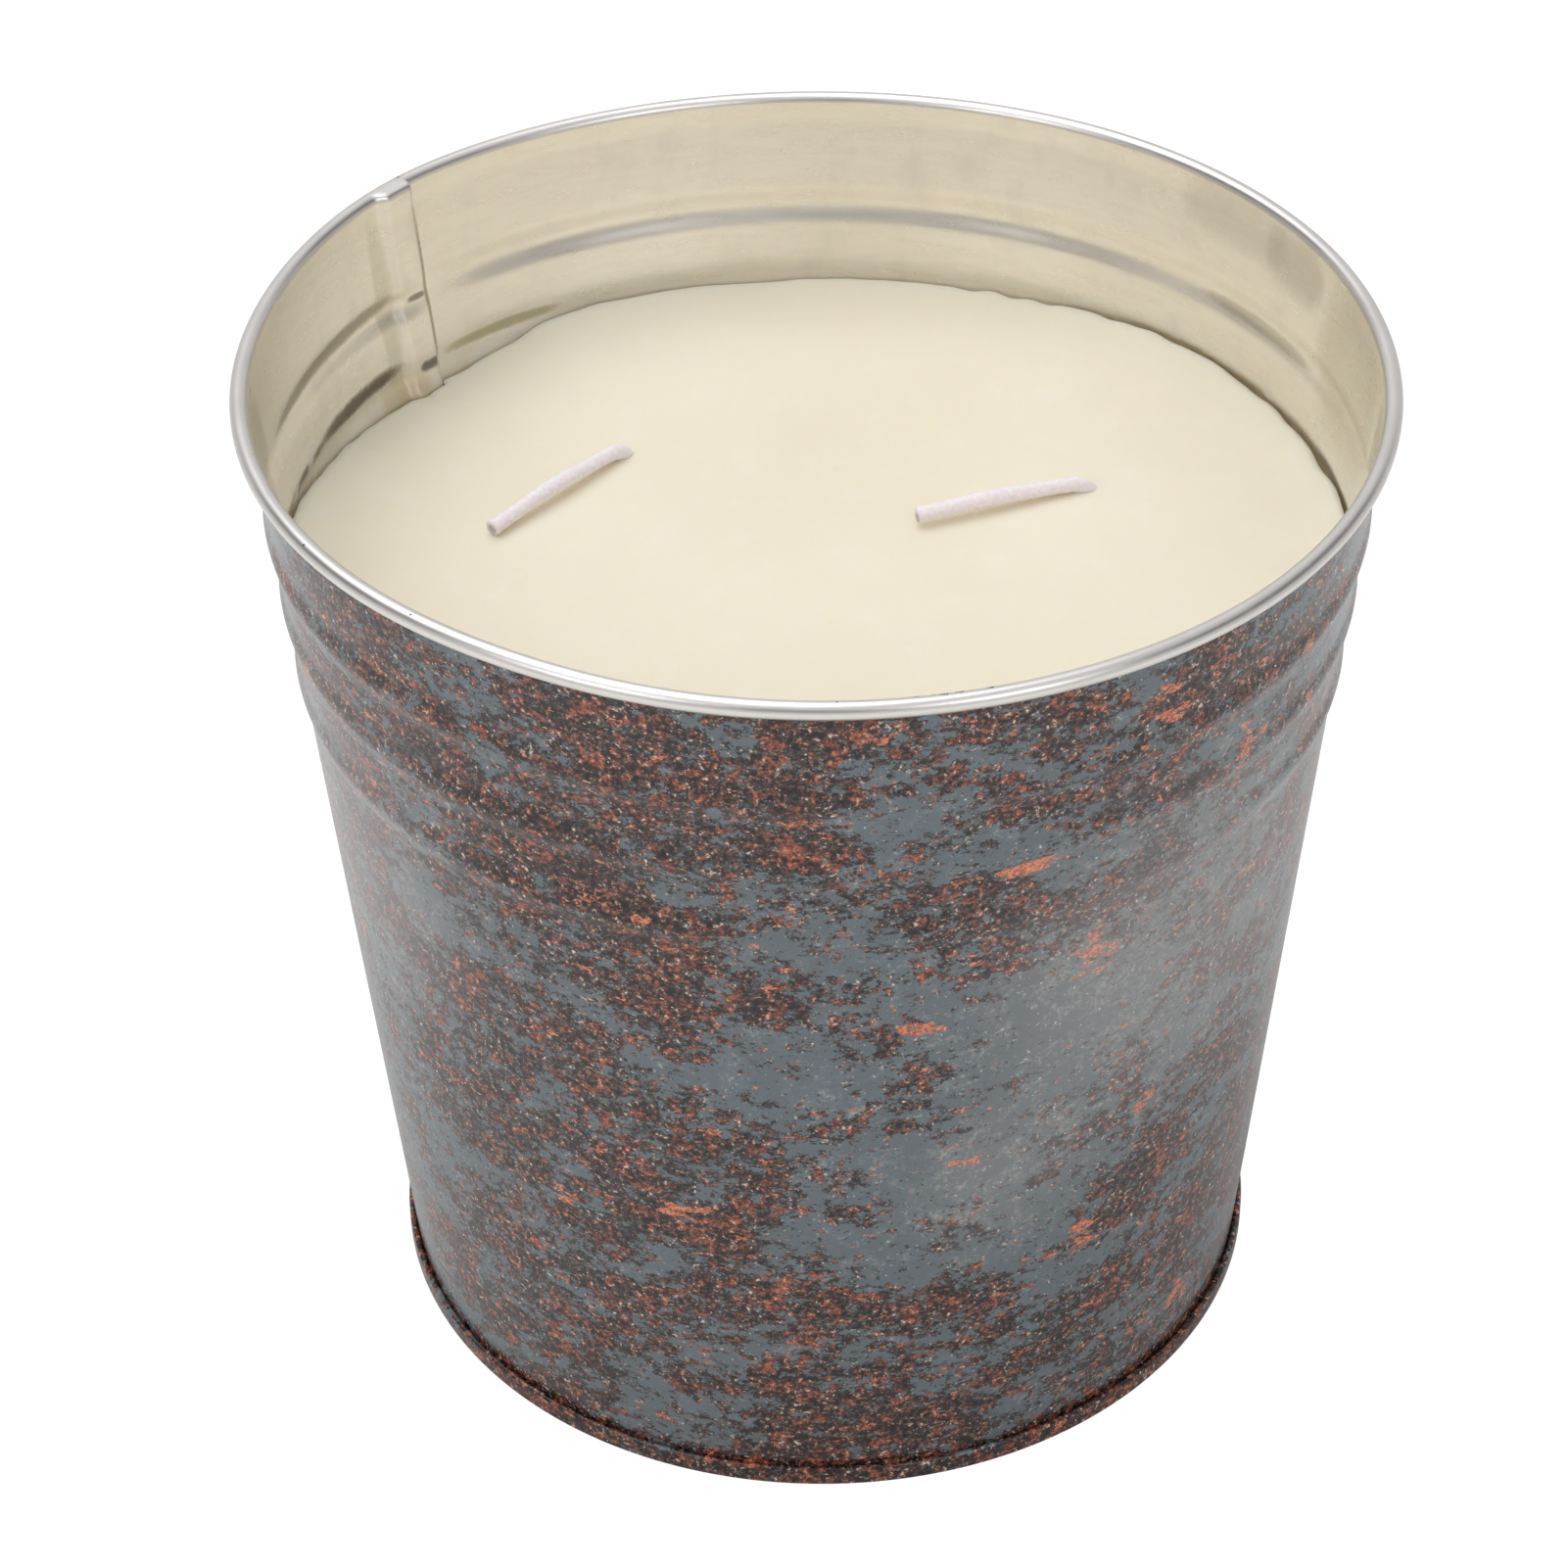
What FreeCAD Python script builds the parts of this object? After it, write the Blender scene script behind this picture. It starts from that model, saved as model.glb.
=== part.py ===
import FreeCAD, Part
import math
import os
import Sketcher
from FreeCAD import Placement, Rotation, Vector

os.makedirs("parts", exist_ok=True)

# A poured candle in a tinplate pail, in millimetres. +Z is up, and the origin is
# on the pail's axis at the level it stands on. Azimuth 0 is +X, and +Y is 90.
doc = FreeCAD.newDocument("candle_bucket")

DRIVING_SIZES = [
    # The pail's wall, measured on the outside of the sheet
    ("pail_height", 156.0, "floor to the crown of the rim curl"),
    ("sheet_gauge", 0.3, "thickness of the tinplate"),
    ("base_radius", 66.1, "wall where it leaves the double seam"),
    ("band_radius", 75.45, "wall at the foot of the beaded band"),
    ("neck_radius", 80.35, "upright neck under the curl"),
    ("foot_bend", 1.8, "bend radius where the wall leaves the double seam"),
    ("soft_bend", 15.0, "bend radius where the taper changes"),
    # The three rolled beads, set out from the rim down
    ("bead_count", 3, "beads in the band"),
    ("bead_drop", 18.6, "crown of the rim curl down to the top bead's crown"),
    ("bead_pitch", 12.4, "bead to bead"),
    ("bead_width", 7.0, "along the wall"),
    ("bead_depth", 0.65, "crown above the wall"),
    ("neck_gap", 10.9, "plain wall from the top bead up to the upright neck"),
    ("band_gap", 2.1, "plain wall from the lowest bead down to the body's taper"),
    # The open curl at the rim
    ("curl_radius", 1.28, "outside of the rolled edge"),
    ("curl_turn", 300.0, "degrees that the edge is rolled through"),
    # The double seam round the bottom
    ("seam_height", 3.3, "floor to the top of the seam"),
    ("seam_film", 0.06, "sealing film between folded layers"),
    ("hook_length", 2.0, "body hook and end hook"),
    ("seam_corner", 0.45, "bend radius at the seam's two bottom corners"),
    # The bottom end
    ("panel_rise", 4.4, "floor to the middle of the panel's sheet"),
    ("panel_corner", 0.8, "bend from the chuck wall to the panel"),
    ("ring_inset", 6.1, "wall's foot in to the middle of the panel's stiffening ring"),
    ("ring_width", 5.0, "across the ring"),
    ("ring_depth", 0.9, "ring below the panel"),
    # The lock seam down the wall, with its extra layers on the inside
    ("lock_azimuth", 138.8, "plane of the fold that shows inside"),
    ("lock_angle", 2.7, "degrees between the two folds"),
    ("lock_tip_gap", 0.2, "degrees between a hook's tip and the fold round it"),
    ("joggle_lead", 0.25, "degrees from the outer fold to the joggle"),
    ("joggle_angle", 1.7, "degrees over which the sheet steps inwards"),
    ("lock_foot", 7.0, "height where the folded layers start"),
    ("lock_drop", 2.9, "crown of the rim curl down to where they end"),
    ("lock_notch", 0.6, "slot between the folded layers and the plain lap past each end"),
    # Wax
    ("wax_drop", 32.2, "crown of the rim curl down to the poured wax"),
    ("wax_shrink", 0.05, "gap that the cooled wax leaves"),
    # Wicks, bent over where they leave the wax
    ("wick_diameter", 2.4, "braided cotton, waxed"),
    ("wick_bend", 4.5, "bend radius at the wax surface"),
    ("wick_left_azimuth", 134.8, "where the left wick stands"),
    ("wick_left_inset", 26.5, "wall's foot in to the upright left wick"),
    ("wick_left_lean", 229.2, "azimuth that it is bent towards"),
    ("wick_left_reach", 30.0, "from the upright wick to the free end"),
    ("wick_left_lift", 8.0, "degrees that it climbs after the bend"),
    ("wick_left_sag", 16.0, "degrees that it then turns down through"),
    ("wick_left_perch", 0.2, "gap under its free end"),
    ("wick_right_azimuth", 21.1, "where the right wick stands"),
    ("wick_right_inset", 21.7, "wall's foot in to the upright right wick"),
    ("wick_right_lean", 196.8, "azimuth that it is bent towards"),
    ("wick_right_reach", 28.4, "from the upright wick to the free end"),
    ("wick_right_lift", 6.0, "degrees that it climbs after the bend"),
    ("wick_right_sag", 5.0, "degrees that it then turns down through"),
    ("wick_right_perch", 1.4, "gap under its free end"),
    ("wick_arch", 50.0, "radius of the sag"),
    # The tin clip that holds each wick's foot
    ("clip_diameter", 20.0, "flange"),
    ("clip_gauge", 0.3, "tin of the clip"),
    ("clip_neck", 6.0, "height of the neck over the panel"),
    ("clip_grip", 0.02, "gap between neck and wick"),
]

SEWING_GAP = 1e-3

sizes = doc.addObject("Spreadsheet::Sheet", "sizes")
for row, (name, value, meaning) in enumerate(DRIVING_SIZES, start=1):
    sizes.set(f"A{row}", name)
    sizes.set(f"B{row}", str(value))
    sizes.set(f"C{row}", meaning)
    sizes.setAlias(f"B{row}", name)
doc.recompute()


def size(name):
    return float(sizes.get(name))


class SheetPath:
    """The middle line of a bent sheet or wick, as tangent runs and bends in a half plane.

    The plane's two directions are the distance out from an axis and the height.
    Headings are in degrees: 0 points outwards and 90 points up.
    """

    def __init__(self, out, height, heading):
        self.out, self.height, self.heading = out, height, heading
        self.spans = []

    def onward(self):
        return SheetPath(self.out, self.height, self.heading)

    def run(self, length):
        turn = math.radians(self.heading)
        start = (self.out, self.height)
        self.out += length * math.cos(turn)
        self.height += length * math.sin(turn)
        self.spans.append(("run", start, (self.out, self.height), self.heading))

    def run_to_height(self, height):
        self.run((height - self.height) / math.sin(math.radians(self.heading)))

    def run_to_out(self, out):
        self.run((out - self.out) / math.cos(math.radians(self.heading)))

    def bend(self, radius, turn):
        """Turns left by turn degrees, or right where turn is negative."""
        side = math.copysign(90.0, turn)
        to_centre = math.radians(self.heading + side)
        centre = (self.out + radius * math.cos(to_centre), self.height + radius * math.sin(to_centre))
        first = self.heading - side
        self.heading += turn
        last = math.radians(self.heading - side)
        self.out = centre[0] + radius * math.cos(last)
        self.height = centre[1] + radius * math.sin(last)
        self.spans.append(("bend", centre, radius, first, turn))

    def soften(self, radius, heading, room):
        """Bends to a heading, with the radius limited so that the bend takes at most half of the height room."""
        turn = (heading - self.heading + 180) % 360 - 180
        if turn:
            rise = abs(math.cos(math.radians(heading)) - math.cos(math.radians(self.heading)))
            self.bend(min(radius, room / 2 / rise), turn)

    def bead(self, width, depth):
        """A bulge to the path's right, or to its left where depth is negative, made of three tangent bends."""
        flank_turn = math.degrees(2 * math.atan2(2 * abs(depth), width))
        radius = width / (4 * math.sin(math.radians(flank_turn)))
        first_turn = -math.copysign(flank_turn, depth)
        self.bend(radius, first_turn)
        self.bend(radius, -2 * first_turn)
        self.bend(radius, first_turn)

    def edges(self, offset=0.0):
        """The path's edges, moved offset to its left."""
        shapes = []
        for span in self.spans:
            if span[0] == "run":
                _, start, end, heading = span
                left = math.radians(heading + 90)
                shift = Vector(offset * math.cos(left), 0, offset * math.sin(left))
                shapes.append(Part.LineSegment(flat_point(*start) + shift, flat_point(*end) + shift).toShape())
            else:
                _, centre, radius, first, turn = span
                reach = radius - offset * math.copysign(1, turn)
                points = []
                for share in (0, 0.5, 1):
                    angle = math.radians(first + turn * share)
                    out, height = centre[0] + reach * math.cos(angle), centre[1] + reach * math.sin(angle)
                    points.append(flat_point(out, height))
                shapes.append(Part.Arc(*points).toShape())
        return shapes


def flat_point(out, height):
    return Vector(out, 0, height)


def ends(edges):
    """First and last point of edges that follow each other."""
    return edges[0].firstVertex(True).Point, edges[-1].lastVertex(True).Point


def strip_wire(paths, left, right):
    """Outline of a sheet between two offsets of the paths that follow each other."""
    left_side = [edge for path in paths for edge in path.edges(left)]
    right_side = [edge for path in paths for edge in path.edges(right)]
    left_start, left_end = ends(left_side)
    right_start, right_end = ends(right_side)
    caps = [Part.makeLine(left_end, right_end), Part.makeLine(left_start, right_start)]
    return Part.Wire(Part.__sortEdges__(left_side + right_side + caps))


def turned(shape, azimuth):
    return shape.rotated(Vector(), Vector(0, 0, 1), azimuth)


def flat_shape(label, shape):
    feature = doc.addObject("Part::Feature", label)
    feature.Shape = shape
    return feature


def revolution(label, profile, angle):
    """Turns a profile about the pail's axis; angle is degrees or an expression."""
    solid = doc.addObject("Part::Revolution", label)
    solid.Source = profile
    solid.Axis = Vector(0, 0, 1)
    solid.Solid = True
    solid.setExpression("Angle", angle)
    return solid


def fused(label, features):
    union = doc.addObject("Part::MultiFuse", label)
    union.Shapes = features
    return union


gauge = size("sheet_gauge")
layer_pitch = gauge + size("seam_film")
wall_out = size("base_radius") - gauge / 2
half_sheet = gauge / 2


def taper(low_radius, low_height, high_radius, high_height):
    """Degrees that the wall leans out between two of its heights."""
    return math.degrees(math.atan2(high_radius - low_radius, high_height - low_height))


# The wall's middle line, from the tip of the body hook to the tip of the rim curl:
# the foot, the stretch that the lock seam runs down with a notch at each end, and
# the rim.
seam_clear = size("seam_height") + half_sheet
top_bead = size("pail_height") - size("bead_drop")
crowns = [top_bead - bead * size("bead_pitch") for bead in reversed(range(int(size("bead_count"))))]
band_foot = crowns[0] - size("bead_width") / 2 - size("band_gap")
neck_foot = top_bead + size("bead_width") / 2 + size("neck_gap")
lock_top = size("pail_height") - size("lock_drop")
wall_lean = taper(size("base_radius"), seam_clear, size("band_radius"), band_foot)
band_lean = taper(size("band_radius"), band_foot, size("neck_radius"), neck_foot)

foot = SheetPath(wall_out + 2 * layer_pitch, gauge + size("seam_film") + size("hook_length"), -90)
foot.run_to_height(layer_pitch + half_sheet + layer_pitch)
foot.bend(layer_pitch, -180)
foot.run_to_height(seam_clear)
foot.bend(size("foot_bend"), -wall_lean)
foot.run_to_height(size("lock_foot") - size("lock_notch"))

low_notch = foot.onward()
low_notch.run_to_height(size("lock_foot"))

beaded = low_notch.onward()
beaded.run_to_height(band_foot)
beaded.soften(size("soft_bend"), 90 - band_lean, size("band_gap"))
for crown in crowns:
    half_bead = size("bead_width") / 2 * math.cos(math.radians(band_lean))
    beaded.run_to_height(crown - half_bead)
    beaded.bead(size("bead_width"), size("bead_depth"))
beaded.run_to_height(neck_foot)
beaded.soften(size("soft_bend"), 90, lock_top - neck_foot)
beaded.run_to_height(lock_top)

curl_middle = size("curl_radius") - half_sheet
curl_foot = size("pail_height") - size("curl_radius")
high_notch = beaded.onward()
high_notch.run_to_height(lock_top + size("lock_notch"))

rim = high_notch.onward()
rim.run_to_height(curl_foot)
rim.bend(curl_middle, -size("curl_turn"))

# Planes of the lock seam. Sheet end A keeps to the wall, folds at outer_fold and
# hooks back; sheet end B steps inwards at the joggle, passes over A's hook, folds
# at inner_fold and hooks back between A's wall and A's hook.
inner_fold = size("lock_azimuth")
outer_fold = inner_fold + size("lock_angle")
joggle_start = outer_fold + size("joggle_lead")
joggle_end = joggle_start + size("joggle_angle")


def wall_layer(label, path, depth, start, angle):
    """A stretch of sheet, depth layers inside the wall, turned through angle from azimuth start."""
    inset = depth * layer_pitch
    outline = strip_wire([path], inset + half_sheet, inset - half_sheet)
    profile = flat_shape(label + "_profile", turned(Part.Face(outline), start))
    return revolution(label, profile, angle)


def fold(label, depth, azimuth, bulge):
    """The round fold between the layers on each side of depth, bulging towards bulge (+1 or -1)."""
    spine = beaded.edges(depth * layer_pitch)
    start = ends(spine)[0]
    lean = math.radians(wall_lean)
    inwards = Vector(-math.cos(lean), 0, math.sin(lean))
    along = Vector(0, bulge, 0)

    def half_ring(radius):
        return Part.Arc(start + inwards * radius, start + along * radius, start - inwards * radius).toShape()

    outer, inner = half_ring(layer_pitch + half_sheet), half_ring(layer_pitch - half_sheet)
    outer_start, outer_end = ends([outer])
    inner_start, inner_end = ends([inner])
    caps = [Part.makeLine(outer_start, inner_start), Part.makeLine(outer_end, inner_end)]
    section = Part.Wire(Part.__sortEdges__([outer, inner] + caps))
    pipe = Part.BRepOffsetAPI.MakePipeShell(Part.Wire(spine))
    pipe.setBiNormalMode(Vector(0, 1, 0))
    pipe.add(section, False, False)
    pipe.build()
    pipe.makeSolid()
    round_faces = [face for face in pipe.shape().Faces if abs(face.CenterOfMass.y) > SEWING_GAP]
    flat_faces = []
    for layer in (depth - 1, depth + 1):
        inset = layer * layer_pitch
        flat_faces.append(Part.Face(strip_wire([beaded], inset + half_sheet, inset - half_sheet)))
    return flat_shape(label, turned(Part.Compound(round_faces + flat_faces), azimuth))


def joggle(label):
    """Sheet end B stepping from the wall to the seam's innermost layer."""
    deep = 3 * layer_pitch
    inside = turned(strip_wire([beaded], deep + half_sheet, deep - half_sheet), joggle_start)
    outside = turned(strip_wire([beaded], half_sheet, -half_sheet), joggle_end)
    faces = [Part.Face(inside), Part.Face(outside)]
    for near, far in zip(inside.OrderedEdges, outside.OrderedEdges):
        faces.append(Part.makeRuledSurface(near, far))
    shell = Part.Shell(faces)
    shell.sewShape()
    return flat_shape(label, Part.Solid(shell))


def joined(label, blocks):
    """One solid from blocks that meet in whole faces: each pair of shared faces goes and the rest are sewn."""
    faces = [face for block in blocks for face in block.Shape.Faces]
    places = [(face.CenterOfMass, face.Area) for face in faces]
    free = []
    for face, (middle, area) in zip(faces, places):
        alike = sum((spot - middle).Length < SEWING_GAP and abs(extent - area) < SEWING_GAP
                    for spot, extent in places)
        if alike == 1:
            free.append(face)
    shell = Part.Compound(free)
    shell.sewShape(SEWING_GAP)
    return flat_shape(label, Part.Solid(shell.Shells[0]))


def make_bucket_wall():
    tip = "sizes.lock_angle - sizes.lock_tip_gap"
    lap = "sizes.joggle_lead + sizes.joggle_angle"
    blocks = [
        wall_layer("lock_end_a_hook", beaded, 2, inner_fold + size("lock_tip_gap"), tip),
        wall_layer("lock_end_b_hook", beaded, 1, inner_fold, tip),
        wall_layer("lock_end_b_cover", beaded, 3, inner_fold, "sizes.lock_angle + sizes.joggle_lead"),
        fold("lock_end_a_fold", 1, outer_fold, 1),
        fold("lock_end_b_fold", 2, inner_fold, -1),
        joggle("lock_end_b_joggle"),
        wall_layer("lap_at_foot", foot, 0, outer_fold, lap),
        wall_layer("lap_at_rim", rim, 0, outer_fold, lap),
    ]
    for name, path in (("foot", foot), ("low_notch", low_notch), ("beaded", beaded),
                       ("high_notch", high_notch), ("rim", rim)):
        blocks.append(wall_layer(f"wall_{name}", path, 0, joggle_end, f"360 - ({lap})"))
    doc.recompute()
    return joined("bucket_wall", blocks)


# The bottom end's middle line: the seam round the body hook, then the raised panel.
seam = SheetPath(wall_out + layer_pitch, size("seam_height") - size("hook_length"), 90)
seam.run_to_height(size("seam_height") - half_sheet - layer_pitch)
seam.bend(layer_pitch, -180)
seam.run_to_height(half_sheet + size("seam_corner"))
seam.bend(size("seam_corner"), -90)
seam.run(4 * layer_pitch - 2 * size("seam_corner"))
seam.bend(size("seam_corner"), -90)
seam.run_to_height(size("panel_rise") - size("panel_corner"))
seam.bend(size("panel_corner"), 90)

panel = seam.onward()
panel.run_to_out(size("base_radius") - size("ring_inset") + size("ring_width") / 2)
panel.bead(size("ring_width"), -size("ring_depth"))
panel.run_to_out(0)


def make_bottom_plate():
    profile = flat_shape("bottom_plate_profile", Part.Face(strip_wire([seam, panel], half_sheet, -half_sheet)))
    return revolution("bottom_plate", profile, "360")


panel_top = size("panel_rise") + half_sheet


def stand_at_wick(feature, side):
    """Places a feature on the panel where a wick stands."""
    standing = f"(sizes.base_radius - sizes.wick_{side}_inset)"
    azimuth = f"sizes.wick_{side}_azimuth * 1 deg"
    feature.setExpression("Placement.Base.x", f"{standing} * cos({azimuth})")
    feature.setExpression("Placement.Base.y", f"{standing} * sin({azimuth})")
    feature.setExpression("Placement.Base.z", "sizes.panel_rise + sizes.sheet_gauge / 2")


def wick_path(side):
    """A wick's middle line, upright from the panel and bent over on the wax."""
    bend, arch = size("wick_bend"), size("wick_arch")
    lift, sag = size(f"wick_{side}_lift"), size(f"wick_{side}_sag")
    climb, fall = math.radians(lift), math.radians(lift - sag)
    curved_reach = bend * (1 - math.sin(climb)) + arch * (math.sin(climb) - math.sin(fall))
    straight = (size(f"wick_{side}_reach") - curved_reach) / (math.cos(climb) + math.cos(fall))
    rise = bend * math.cos(climb) + arch * (math.cos(fall) - math.cos(climb))
    rise += straight * (math.sin(climb) + math.sin(fall))
    wax_level = size("pail_height") - size("wax_drop")
    free_end = wax_level + size("wick_diameter") / 2 + size(f"wick_{side}_perch")
    path = SheetPath(0, panel_top, 90)
    path.run_to_height(free_end - rise)
    path.bend(bend, lift - 90)
    path.run(straight)
    path.bend(arch, -sag)
    path.run(straight)
    return path


def wick_sweep(label, side, extra):
    """A round rod along a wick's path, with its radius grown by the expression extra."""
    standing = size("base_radius") - size(f"wick_{side}_inset")
    azimuth = math.radians(size(f"wick_{side}_azimuth"))
    place = Placement(Vector(standing * math.cos(azimuth), standing * math.sin(azimuth), 0),
                      Rotation(Vector(0, 0, 1), size(f"wick_{side}_lean")))
    spine = flat_shape(label + "_spine", Part.Wire(wick_path(side).edges()).transformed(place.toMatrix()))
    ring = doc.addObject("Part::Circle", label + "_section")
    ring.setExpression("Radius", "sizes.wick_diameter / 2" + extra)
    stand_at_wick(ring, side)
    rod = doc.addObject("Part::Sweep", label)
    rod.Sections = [ring]
    rod.Spine = (spine, [f"Edge{number + 1}" for number in range(len(spine.Shape.Edges))])
    rod.Solid = True
    rod.Transition = "Round corner"
    return rod


def make_clip(side):
    """The tin clip: a flat flange with a neck crimped round the wick's foot."""
    label = f"wick_clip_{side}"
    body = doc.addObject("PartDesign::Body", label)
    plane = [item for item in body.Origin.OriginFeatures if item.Role == "XZ_Plane"][0]
    sketch = body.newObject("Sketcher::SketchObject", label + "_profile")
    sketch.AttachmentSupport = [(plane, "")]
    sketch.MapMode = "FlatFace"
    bore = size("wick_diameter") / 2 + size("clip_grip")
    flange, tin, neck = size("clip_diameter") / 2, size("clip_gauge"), size("clip_neck")
    corners = [(bore, 0), (flange, 0), (flange, tin), (bore + tin, tin), (bore + tin, neck), (bore, neck)]
    for start, end in zip(corners, corners[1:] + corners[:1]):
        sketch.addGeometry(Part.LineSegment(Vector(*start, 0), Vector(*end, 0)), False)
    for line in range(6):
        sketch.addConstraint(Sketcher.Constraint("Coincident", line, 2, (line + 1) % 6, 1))
        sketch.addConstraint(Sketcher.Constraint("Vertical" if line % 2 else "Horizontal", line))
    sketch.addConstraint(Sketcher.Constraint("PointOnObject", 0, 1, -1))
    for start, end, kind, value, expression in (
            ((-1, 1), (0, 1), "DistanceX", bore, "sizes.wick_diameter / 2 + sizes.clip_grip"),
            ((-1, 1), (1, 1), "DistanceX", flange, "sizes.clip_diameter / 2"),
            ((-1, 1), (1, 2), "DistanceY", tin, "sizes.clip_gauge"),
            ((0, 1), (3, 1), "DistanceX", tin, "sizes.clip_gauge"),
            ((-1, 1), (4, 1), "DistanceY", neck, "sizes.clip_neck")):
        number = sketch.addConstraint(Sketcher.Constraint(kind, *start, *end, value))
        sketch.setExpression(f"Constraints[{number}]", expression)
    turning = body.newObject("PartDesign::Revolution", label + "_turning")
    turning.Profile = sketch
    turning.ReferenceAxis = (sketch, ["V_Axis"])
    turning.Angle = 360
    stand_at_wick(body, side)
    return body


def clip_hollow(side):
    """The space that the clip takes up in the wax."""
    parts = []
    for name, radius, height in (
            ("flange", "sizes.clip_diameter / 2 + sizes.wax_shrink", "sizes.clip_gauge + sizes.wax_shrink"),
            ("neck", "sizes.wick_diameter / 2 + sizes.clip_grip + sizes.clip_gauge + sizes.wax_shrink",
             "sizes.clip_neck + sizes.wax_shrink")):
        disc = doc.addObject("Part::Cylinder", f"clip_{name}_hollow_{side}")
        disc.setExpression("Radius", radius)
        disc.setExpression("Height", height)
        stand_at_wick(disc, side)
        parts.append(disc)
    return parts


def make_wax_fill():
    """The wax as it set: against the wall, the panel, the lock seam, the wicks and the clips."""
    shrink = size("wax_shrink")
    inset = half_sheet + shrink
    side = [foot.edges(inset)[-1]] + low_notch.edges(inset) + beaded.edges(inset)
    low, high = ends(side)
    axis_low, axis_high = Vector(0, 0, low.z), Vector(0, 0, high.z)
    closing = [Part.makeLine(high, axis_high), Part.makeLine(axis_high, axis_low), Part.makeLine(axis_low, low)]
    inside_face = Part.Face(Part.Wire(Part.__sortEdges__(side + closing)))
    inside = revolution("pail_inside", flat_shape("pail_inside_profile", inside_face), "360")

    over_panel = panel.edges(-half_sheet - shrink)
    panel_edge, panel_middle = ends(over_panel)
    past_wall = 2 * size("base_radius")
    outline = [Part.makeLine(Vector(past_wall, 0, panel_edge.z), panel_edge),
               Part.makeLine(panel_middle, Vector()),
               Part.makeLine(Vector(), Vector(past_wall, 0, 0)),
               Part.makeLine(Vector(past_wall, 0, 0), Vector(past_wall, 0, panel_edge.z))]
    below_face = Part.Face(Part.Wire(Part.__sortEdges__(over_panel + outline)))
    below_panel = revolution("below_panel", flat_shape("below_panel_profile", below_face), "360")

    level = doc.addObject("Part::Cylinder", "up_to_wax_level")
    level.setExpression("Radius", "2 * sizes.base_radius")
    level.setExpression("Height", "sizes.pail_height - sizes.wax_drop")
    poured = doc.addObject("Part::Common", "poured_wax")
    poured.Base, poured.Tool = inside, level

    fold_reach = math.degrees((layer_pitch + half_sheet + shrink) / size("base_radius"))
    lock_outline = strip_wire([low_notch, beaded], 3 * layer_pitch + half_sheet + shrink, -half_sheet)
    lock_face = turned(Part.Face(lock_outline), inner_fold - fold_reach)
    lock_span = joggle_end - inner_fold + fold_reach
    lock_hollow = revolution("lock_hollow", flat_shape("lock_hollow_profile", lock_face), str(lock_span))

    hollows = [below_panel, lock_hollow]
    for side_name in ("left", "right"):
        hollows.append(wick_sweep(f"wick_hollow_{side_name}", side_name, " + sizes.wax_shrink"))
        hollows += clip_hollow(side_name)
    wax = doc.addObject("Part::Cut", "wax_fill")
    wax.Base, wax.Tool = poured, fused("wax_hollows", hollows)
    return wax


pieces = [
    make_bucket_wall(),
    make_bottom_plate(),
    make_wax_fill(),
    wick_sweep("wick_left", "left", ""),
    wick_sweep("wick_right", "right", ""),
    make_clip("left"),
    make_clip("right"),
]
doc.recompute()

for item in doc.Objects:
    if {"Invalid", "Error"} & set(item.State):
        raise RuntimeError(f"{item.Label} failed: {item.State}")
for piece in pieces:
    if piece.Shape.isNull() or not piece.Shape.isValid() or len(piece.Shape.Solids) != 1:
        raise RuntimeError(f"{piece.Label} is not one valid solid")
for piece in pieces:
    piece.Shape.exportStep(f"parts/{piece.Label}.step")
    box = piece.Shape.BoundBox
    extent = f"{box.XLength:.2f} x {box.YLength:.2f} x {box.ZLength:.2f}"
    print(f"{piece.Label}: {piece.Shape.Volume:.1f} mm3, {extent}")
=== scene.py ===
import math

import bpy
import numpy as np
from mathutils import Matrix, Vector


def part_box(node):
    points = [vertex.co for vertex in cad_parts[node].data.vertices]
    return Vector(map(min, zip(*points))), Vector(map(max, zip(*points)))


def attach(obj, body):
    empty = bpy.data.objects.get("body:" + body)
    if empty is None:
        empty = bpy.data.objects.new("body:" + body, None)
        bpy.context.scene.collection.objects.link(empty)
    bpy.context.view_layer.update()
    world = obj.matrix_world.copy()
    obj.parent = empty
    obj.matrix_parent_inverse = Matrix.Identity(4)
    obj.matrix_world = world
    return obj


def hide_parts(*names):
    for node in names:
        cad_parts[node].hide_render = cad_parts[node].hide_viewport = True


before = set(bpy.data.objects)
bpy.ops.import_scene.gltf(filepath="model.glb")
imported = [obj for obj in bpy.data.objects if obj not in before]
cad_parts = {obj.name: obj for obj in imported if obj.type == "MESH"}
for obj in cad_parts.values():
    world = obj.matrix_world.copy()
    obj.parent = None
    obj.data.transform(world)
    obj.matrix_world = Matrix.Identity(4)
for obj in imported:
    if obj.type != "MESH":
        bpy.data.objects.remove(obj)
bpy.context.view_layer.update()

# The bucket's wall. One sheet of tinplate, rolled to a cone, joined by a lock seam at
# the left back, beaded three times near the top and curled outwards at the rim. The
# sheet is printed outside and left bare inside, so the curl shows bare tin.
# Sizes are in millimetres and azimuths in degrees, from the right towards the back.
MM = 0.001
PAIL_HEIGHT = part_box("bucket_wall")[1][2] / MM
SHEET = 0.3
WALL_STATIONS = ((0.4, 66.1), (3.45, 66.1), (107.0, 75.45), (151.8, 80.35), (156.0, 80.35))
BEAD_HEIGHTS = (112.6, 125.0, 137.4)
BEAD_WIDTH, BEAD_DEPTH = 7.4, 0.65
CURL_RADIUS, CURL_TURN = 1.28, 300.0
# The lock seam: its layers, its folded edge and the joggle that brings the sheet back to the round.
LAYER, FOLD_RADIUS = 0.36, 0.51
LOCK_DEPTH = 3 * LAYER + 0.15
LOCK_FOLD, JOGGLE_START, JOGGLE_END = 138.8, 141.75, 143.45
LOCK_FOOT, MEAN_RADIUS = 7.0, 76.0
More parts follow.
